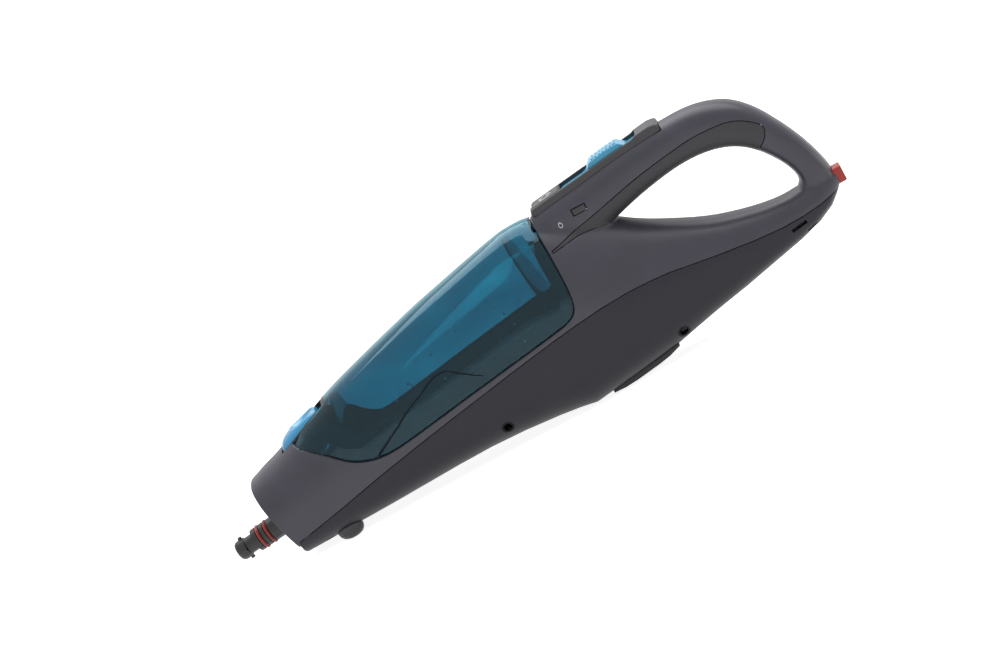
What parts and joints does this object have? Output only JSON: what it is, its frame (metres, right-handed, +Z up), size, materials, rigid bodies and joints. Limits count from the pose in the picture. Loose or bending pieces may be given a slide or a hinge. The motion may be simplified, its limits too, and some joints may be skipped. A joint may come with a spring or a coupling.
{
  "type": "hand-held steam cleaner",
  "caption": "Long rounded hand-held steam cleaner with a loop handle, a clear lift-out water tank with a spoon-shaped latch, a steam slider, push buttons and a bayonet spigot in an open nose.",
  "frame": {"origin": "under the middle of the overall box, at the height of the front feet's soles", "axes": "+X from the spigot's tip towards the handle, +Y towards the user's right side, +Z up through the tank"},
  "size_m": [0.4776, 0.0758, 0.1479],
  "materials": {
    "housing_grey": "fine satin moulded plastic",
    "lower_grey": "fine satin moulded plastic",
    "grip_rubber": "soft matt overmould",
    "console_grey": "satin moulded plastic",
    "tank_teal": "clear tinted plastic",
    "latch_blue": "glossy moulded plastic",
    "slider_blue": "glossy moulded plastic",
    "button_red": "satin moulded plastic",
    "seal_red": "silicone seal",
    "seal_black": "matt rubber",
    "nozzle_black": "glass-filled plastic",
    "inner_plastic": "plain moulded plastic",
    "aluminium": "die cast",
    "steel": "plated steel",
    "brass": "turned",
    "copper_winding": "varnished winding",
    "hose_silicone": "translucent silicone",
    "board_green": "coated circuit board",
    "switch_black": "plain moulded plastic"
  },
  "bodies": {
    "main": {"housing_left": "housing_grey", "housing_right": "housing_grey", "lower_housing_left": "lower_grey", "lower_housing_right": "lower_grey", "handle_grip": "grip_rubber", "console_cover": "console_grey", "console_clip_left": "console_grey", "console_clip_right": "console_grey", "front_foot_left": "console_grey", "front_foot_right": "console_grey", "belly_skid": "grip_rubber", "steam_spigot": "nozzle_black", "o_ring_front": "seal_red", "o_ring_rear": "seal_red", "nose_bulkhead": "nozzle_black", "tank_cradle": "inner_plastic", "tank_port": "inner_plastic", "port_seal": "seal_black", "boiler_body": "aluminium", "boiler_cover": "aluminium", "heating_element": "steel", "thermostat": "steel", "thermal_fuse": "brass", "steam_pipe": "steel", "pump_body": "brass", "pump_coil": "copper_winding", "pump_mount": "seal_black", "suction_hose": "hose_silicone", "pressure_hose": "hose_silicone", "control_board": "board_green", "wiring_loom": "switch_black", "power_switch": "switch_black", "steam_switch": "switch_black", "rear_switch": "switch_black", "power_spring": "steel", "rear_spring": "steel", "housing_screw_front": "steel", "housing_screw_rear": "steel"},
    "tank": {"tank_shell": "tank_teal", "tank_base": "tank_teal", "tank_baffle_front": "tank_teal", "tank_baffle_rear": "tank_teal", "tank_valve": "inner_plastic", "filler_cap": "nozzle_black", "latch_bracket": "nozzle_black", "latch_pin": "steel", "latch_spring": "steel"},
    "latch_lever": {"tank_latch": "latch_blue"},
    "power_key": {"power_button": "console_grey"},
    "steam_key": {"steam_slider": "slider_blue"},
    "rear_key": {"rear_button": "button_red"}
  },
  "joints": [
    {"name": "tank_lift", "type": "slide", "parent": "main", "child": "tank", "axis": [-0.1478, 0, 0.989], "range_m": [0, 0.09]},
    {"name": "latch_turn", "type": "hinge", "parent": "tank", "child": "latch_lever", "pos_m": [-0.16848, 0, 0.07282], "axis": [0, -1, 0], "range_deg": [0, 25], "stiffness_Nm_per_rad": 0.06, "springref_deg": -11.46, "deforming": ["latch_spring"]},
    {"name": "power_push", "type": "slide", "parent": "main", "child": "power_key", "axis": [0.1184, 0, -0.993], "range_m": [0, 0.0015], "stiffness_N_per_m": 400, "springref_m": -0.002, "deforming": ["power_spring"]},
    {"name": "steam_slide", "type": "slide", "parent": "main", "child": "steam_key", "axis": [0.993, 0, 0.1184], "range_m": [0, 0.006]},
    {"name": "rear_push", "type": "slide", "parent": "main", "child": "rear_key", "axis": [-1, 0, 0], "range_m": [0, 0.002], "stiffness_N_per_m": 400, "springref_m": -0.002, "deforming": ["rear_spring"]}
  ]
}
